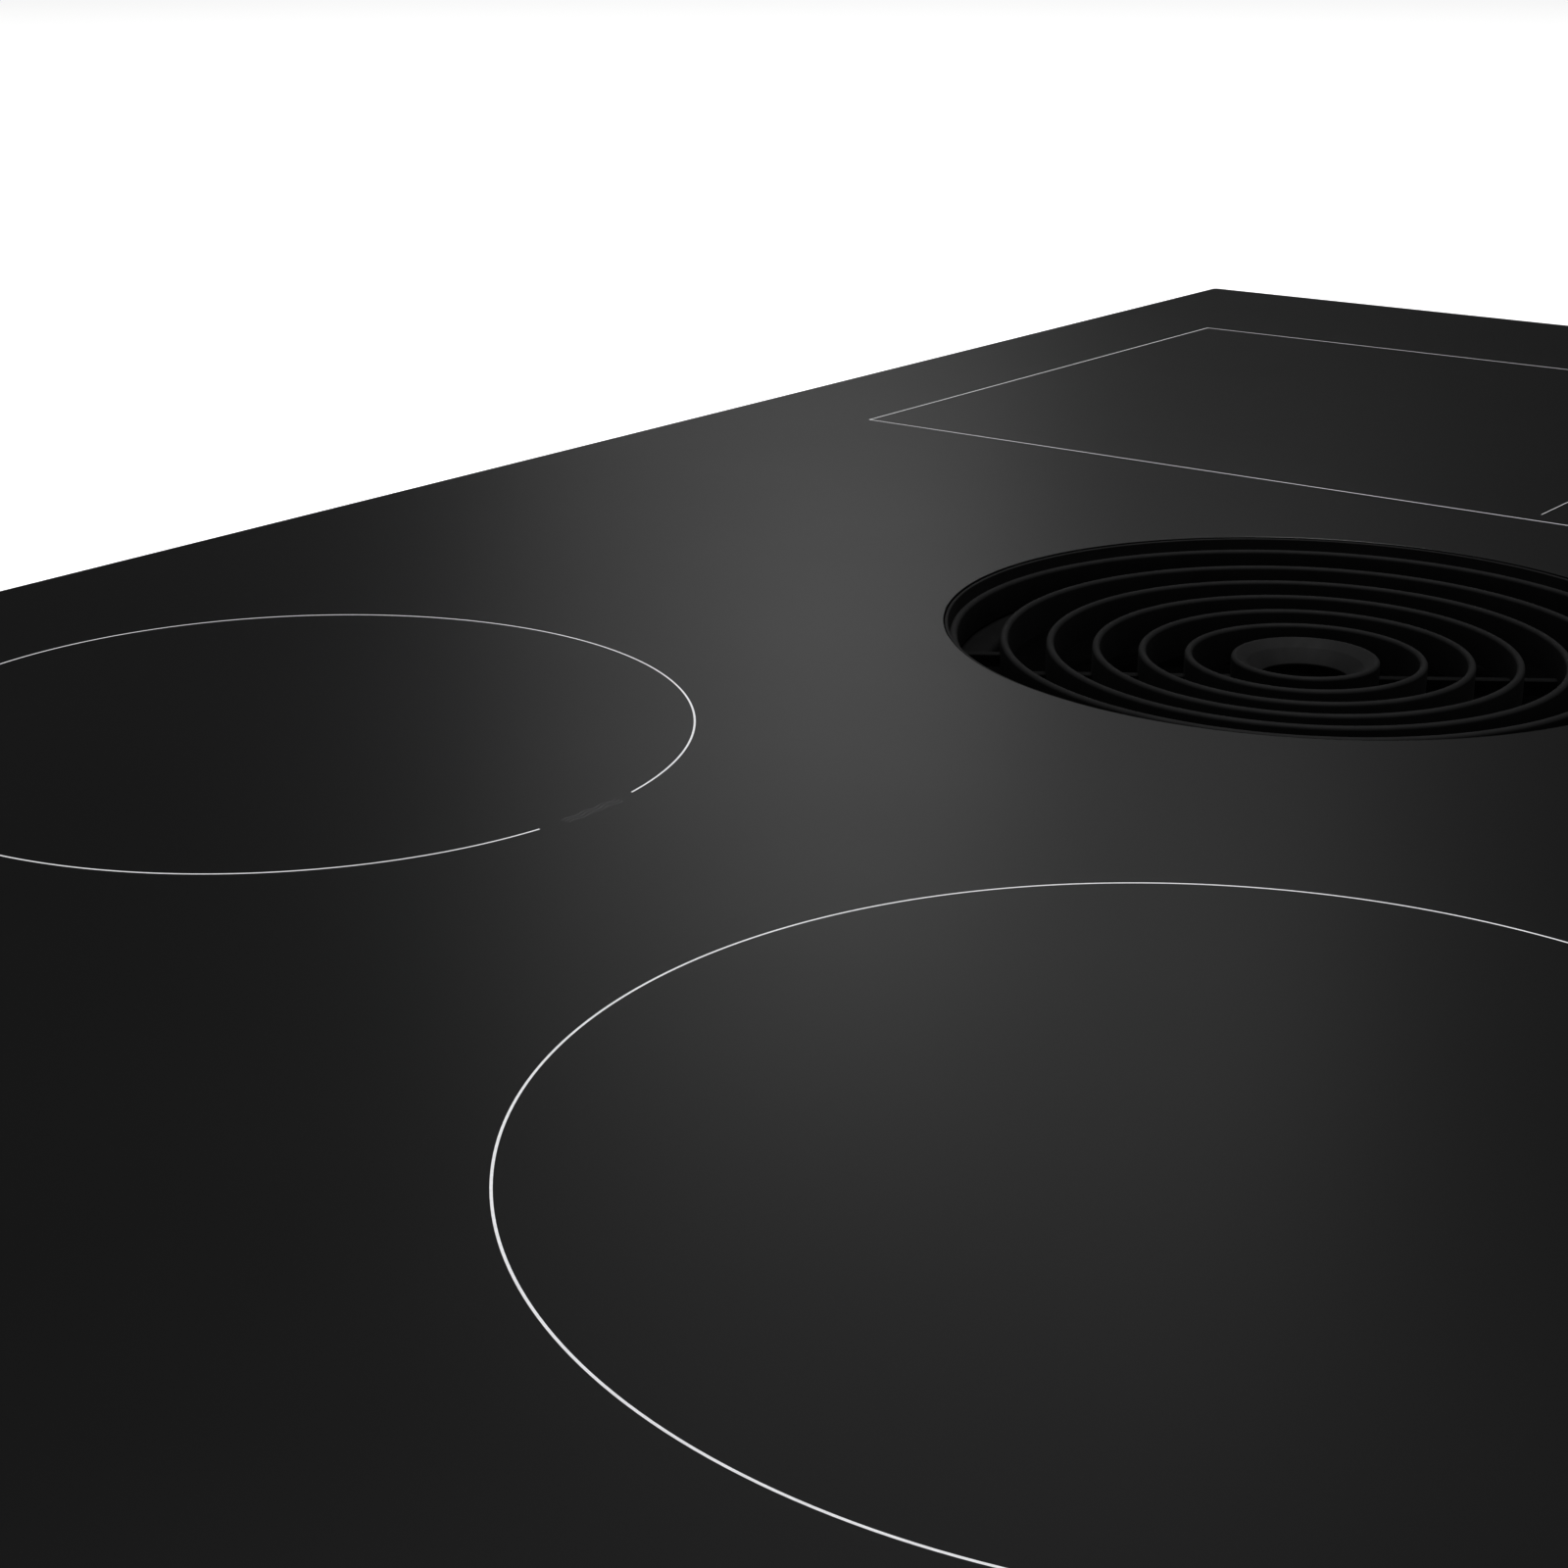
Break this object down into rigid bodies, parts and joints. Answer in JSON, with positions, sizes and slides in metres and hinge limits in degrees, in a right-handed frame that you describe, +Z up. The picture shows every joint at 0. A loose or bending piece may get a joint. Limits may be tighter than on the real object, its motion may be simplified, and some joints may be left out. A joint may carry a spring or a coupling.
{
  "type": "induction cooktop",
  "caption": "Black glass-ceramic induction cooktop with ring-marked zones, a bridge zone and a round downdraft extractor grille in its middle.",
  "frame": {"origin": "on the plane of the worktop's surface, under the centre of the round air inlet", "axes": "+X to the user's right, +Y away from the user, +Z up"},
  "size_m": [0.922, 0.5588, 0.2018],
  "materials": {
    "glass_ceramic": "gloss",
    "silicone_seal": "matte",
    "frame_aluminium": "satin",
    "galvanised_sheet": "satin",
    "black_enamel": "satin",
    "filter_mesh": "satin",
    "black_plastic": "matte",
    "grey_plastic": "matte",
    "litz_copper": "satin",
    "ferrite": "matte",
    "circuit_board": "satin",
    "bright_steel": "satin"
  },
  "bodies": {
    "root": {"glass_top": "glass_ceramic", "worktop_seal": "silicone_seal", "carrier_frame": "frame_aluminium", "coil_carrier_left": "frame_aluminium", "coil_carrier_right": "frame_aluminium", "heatsink_left": "frame_aluminium", "heatsink_right": "frame_aluminium", "temperature_sensor_rear_left": "frame_aluminium", "temperature_sensor_front_left": "frame_aluminium", "temperature_sensor_bridge_rear": "frame_aluminium", "temperature_sensor_bridge_front": "frame_aluminium", "base_tray": "galvanised_sheet", "extractor_mounting_plate": "galvanised_sheet", "extractor_lower_pan": "galvanised_sheet", "fixing_bracket_front_left": "galvanised_sheet", "fixing_bracket_rear_left": "galvanised_sheet", "fixing_bracket_front_right": "galvanised_sheet", "fixing_bracket_rear_right": "galvanised_sheet", "inlet_collar": "black_enamel", "extractor_upper_shell": "black_plastic", "outlet_spigot": "black_plastic", "terminal_cover": "black_plastic", "cable_gland": "black_plastic", "control_carrier": "black_plastic", "cooling_fan_frame_left": "black_plastic", "cooling_fan_frame_right": "black_plastic", "scroll_housing": "grey_plastic", "scroll_lid": "grey_plastic", "terminal_block": "grey_plastic", "control_ribbon": "grey_plastic", "coil_former_rear_left": "grey_plastic", "coil_former_front_left": "grey_plastic", "coil_former_bridge_rear": "grey_plastic", "coil_former_bridge_front": "grey_plastic", "coil_winding_rear_left": "litz_copper", "coil_winding_front_left": "litz_copper", "coil_winding_bridge_rear": "litz_copper", "coil_winding_bridge_front": "litz_copper", "ferrite_star_rear_left": "ferrite", "ferrite_star_front_left": "ferrite", "ferrite_star_bridge_rear": "ferrite", "ferrite_star_bridge_front": "ferrite", "power_board_left": "circuit_board", "power_board_right": "circuit_board", "mains_filter_board": "circuit_board", "touch_control_board": "circuit_board", "fan_motor": "bright_steel", "flap_pin": "bright_steel"},
    "cartridge": {"filter_cartridge": "black_enamel", "grease_filter": "filter_mesh", "drip_cup": "black_plastic"},
    "grille": {"inlet_grille": "black_enamel"},
    "impeller": {"impeller": "black_plastic"},
    "cooling_rotor_left": {"cooling_fan_rotor_left": "black_plastic"},
    "cooling_rotor_right": {"cooling_fan_rotor_right": "black_plastic"},
    "flap": {"backdraft_flap": "frame_aluminium"},
    "clamp_screw_front_left": {"clamp_screw_front_left": "bright_steel"},
    "clamp_screw_rear_left": {"clamp_screw_rear_left": "bright_steel"},
    "clamp_screw_front_right": {"clamp_screw_front_right": "bright_steel"},
    "clamp_screw_rear_right": {"clamp_screw_rear_right": "bright_steel"}
  },
  "joints": [
    {"name": "cartridge_lift", "type": "slide", "parent": "root", "child": "cartridge", "axis": [0, 0, 1], "range_m": [0, 0.17]},
    {"name": "grille_lift", "type": "slide", "parent": "cartridge", "child": "grille", "axis": [0, 0, 1], "range_m": [0, 0.05]},
    {"name": "impeller_spin", "type": "hinge", "parent": "root", "child": "impeller", "pos_m": [-0.175, -0.03, -0.15], "axis": [0, 0, 1], "continuous": true},
    {"name": "cooling_spin_left", "type": "hinge", "parent": "root", "child": "cooling_rotor_left", "pos_m": [-0.335, 0.15, -0.048], "axis": [0, 0, 1], "continuous": true},
    {"name": "cooling_spin_right", "type": "hinge", "parent": "root", "child": "cooling_rotor_right", "pos_m": [0.335, 0.15, -0.048], "axis": [0, 0, 1], "continuous": true},
    {"name": "flap_swing", "type": "hinge", "parent": "root", "child": "flap", "pos_m": [-0.19, 0.165, -0.0994], "axis": [1, 0, 0], "range_deg": [0, 70]},
    {"name": "clamp_adjust_front_left", "type": "slide", "parent": "root", "child": "clamp_screw_front_left", "axis": [0, 0, 1], "range_m": [-0.018, 0.01]},
    {"name": "clamp_adjust_rear_left", "type": "slide", "parent": "root", "child": "clamp_screw_rear_left", "axis": [0, 0, 1], "range_m": [-0.018, 0.01]},
    {"name": "clamp_adjust_front_right", "type": "slide", "parent": "root", "child": "clamp_screw_front_right", "axis": [0, 0, 1], "range_m": [-0.018, 0.01]},
    {"name": "clamp_adjust_rear_right", "type": "slide", "parent": "root", "child": "clamp_screw_rear_right", "axis": [0, 0, 1], "range_m": [-0.018, 0.01]}
  ]
}
